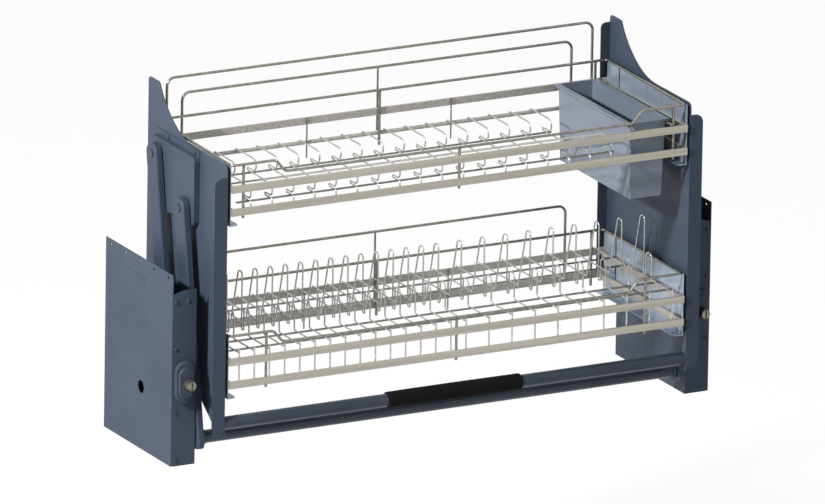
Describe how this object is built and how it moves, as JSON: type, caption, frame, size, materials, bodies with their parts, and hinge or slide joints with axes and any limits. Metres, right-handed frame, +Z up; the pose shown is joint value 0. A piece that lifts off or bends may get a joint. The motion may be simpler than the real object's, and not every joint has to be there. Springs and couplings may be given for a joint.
{
  "type": "pull down dish rack",
  "caption": "Two-tier wire dish rack between side panels that swings forward and down on paired arms from two spring-balanced housings screwed inside a wall cabinet.",
  "frame": {"origin": "middle of the object's footprint at the level of the housings' lower edges", "axes": "+X to the right seen from the front, +Y to the rear of the cabinet, +Z up"},
  "size_m": [0.864, 0.258, 0.516],
  "materials": {
    "painted_steel": "satin powder coat",
    "painted_arm": "satin powder coat",
    "boss_plastic": "matt moulded",
    "zinc_steel": "zinc plated",
    "bush_plastic": "matt",
    "foam": "fine closed-cell foam",
    "box_plastic": "satin moulded",
    "satin_bar": "satin brushed along its length",
    "stainless_wire": "bright",
    "polished_sheet": "polished"
  },
  "bodies": {
    "housings": {"left_housing": "painted_steel", "right_housing": "painted_steel", "left_cover": "painted_steel", "right_cover": "painted_steel", "housing_screws": "zinc_steel", "left_adjuster_boss": "boss_plastic", "right_adjuster_boss": "boss_plastic", "left_balance_spring": "zinc_steel", "right_balance_spring": "zinc_steel", "left_pivot_bushes": "bush_plastic", "right_pivot_bushes": "bush_plastic"},
    "front_arms": {"left_front_arm": "painted_arm", "right_front_arm": "painted_arm", "left_front_lower_pin": "zinc_steel", "right_front_lower_pin": "zinc_steel", "sync_shaft": "painted_arm"},
    "left_rear_arm": {"left_rear_arm": "painted_arm", "left_rear_lower_pin": "zinc_steel", "left_crank": "zinc_steel"},
    "right_rear_arm": {"right_rear_arm": "painted_arm", "right_rear_lower_pin": "zinc_steel", "right_crank": "zinc_steel"},
    "left_knob": {"left_adjuster_knob": "zinc_steel"},
    "right_knob": {"right_adjuster_knob": "zinc_steel"},
    "left_block": {"left_tension_block": "zinc_steel"},
    "right_block": {"right_tension_block": "zinc_steel"},
    "cutlery_box": {"cutlery_box": "box_plastic"},
    "rack": {"left_panel": "painted_steel", "right_panel": "painted_steel", "left_bracket": "painted_steel", "right_bracket": "painted_steel", "handle_bar": "painted_arm", "bracket_screws": "zinc_steel", "upper_pins": "zinc_steel", "foam_grip": "foam", "bowl_front_bars": "satin_bar", "bowl_rear_bars": "satin_bar", "bowl_end_bars": "satin_bar", "bowl_rim": "stainless_wire", "bowl_posts": "stainless_wire", "bowl_spacers": "stainless_wire", "bowl_end_sheets": "polished_sheet", "plate_front_bars": "satin_bar", "plate_rear_bars": "satin_bar", "plate_end_bars": "satin_bar", "plate_rim": "stainless_wire", "plate_posts": "stainless_wire", "plate_spacers": "stainless_wire", "plate_end_sheets": "polished_sheet", "bowl_tall_guard": "stainless_wire", "bowl_low_guard": "stainless_wire", "bowl_cross_wires": "stainless_wire", "bowl_rails": "stainless_wire", "box_cradle": "stainless_wire", "plate_guard": "stainless_wire", "plate_narrow_dividers": "stainless_wire", "plate_wide_dividers": "stainless_wire", "plate_rails": "stainless_wire"}
  },
  "joints": [
    {"name": "lift", "type": "hinge", "parent": "housings", "child": "front_arms", "pos_m": [0, -0.0715, 0.035], "axis": [1, 0, 0], "range_deg": [0, 105]},
    {"name": "left_rear_arm_swing", "type": "hinge", "parent": "housings", "child": "left_rear_arm", "pos_m": [0, 0.015, 0.092], "axis": [1, 0, 0], "range_deg": [0, 105]},
    {"name": "right_rear_arm_swing", "type": "hinge", "parent": "housings", "child": "right_rear_arm", "pos_m": [0, 0.015, 0.092], "axis": [1, 0, 0], "range_deg": [0, 105]},
    {"name": "rack_level", "type": "hinge", "parent": "front_arms", "child": "rack", "pos_m": [0, -0.0155, 0.36], "axis": [1, 0, 0], "range_deg": [-105, 0]},
    {"name": "cutlery_box_lift_out", "type": "slide", "parent": "rack", "child": "cutlery_box", "axis": [0, 0, 1], "range_m": [0, 0.13]},
    {"name": "left_load_knob", "type": "hinge", "parent": "housings", "child": "left_knob", "pos_m": [-0.4125, -0.081, 0.124], "axis": [0, 1, 0], "range_deg": [-1080, 1080]},
    {"name": "left_block_travel", "type": "slide", "parent": "housings", "child": "left_block", "axis": [0, 1, 0], "range_m": [-0.0038, 0.0038]},
    {"name": "right_load_knob", "type": "hinge", "parent": "housings", "child": "right_knob", "pos_m": [0.4125, -0.081, 0.124], "axis": [0, 1, 0], "range_deg": [-1080, 1080]},
    {"name": "right_block_travel", "type": "slide", "parent": "housings", "child": "right_block", "axis": [0, 1, 0], "range_m": [-0.0038, 0.0038]}
  ],
  "couplings": [
    {"joint": "left_rear_arm_swing", "follows": "lift", "ratio": 1},
    {"joint": "right_rear_arm_swing", "follows": "lift", "ratio": 1},
    {"joint": "rack_level", "follows": "lift", "ratio": -1},
    {"joint": "left_block_travel", "follows": "left_load_knob", "m_per_rad": 0.00019894},
    {"joint": "right_block_travel", "follows": "right_load_knob", "m_per_rad": 0.00019894}
  ]
}
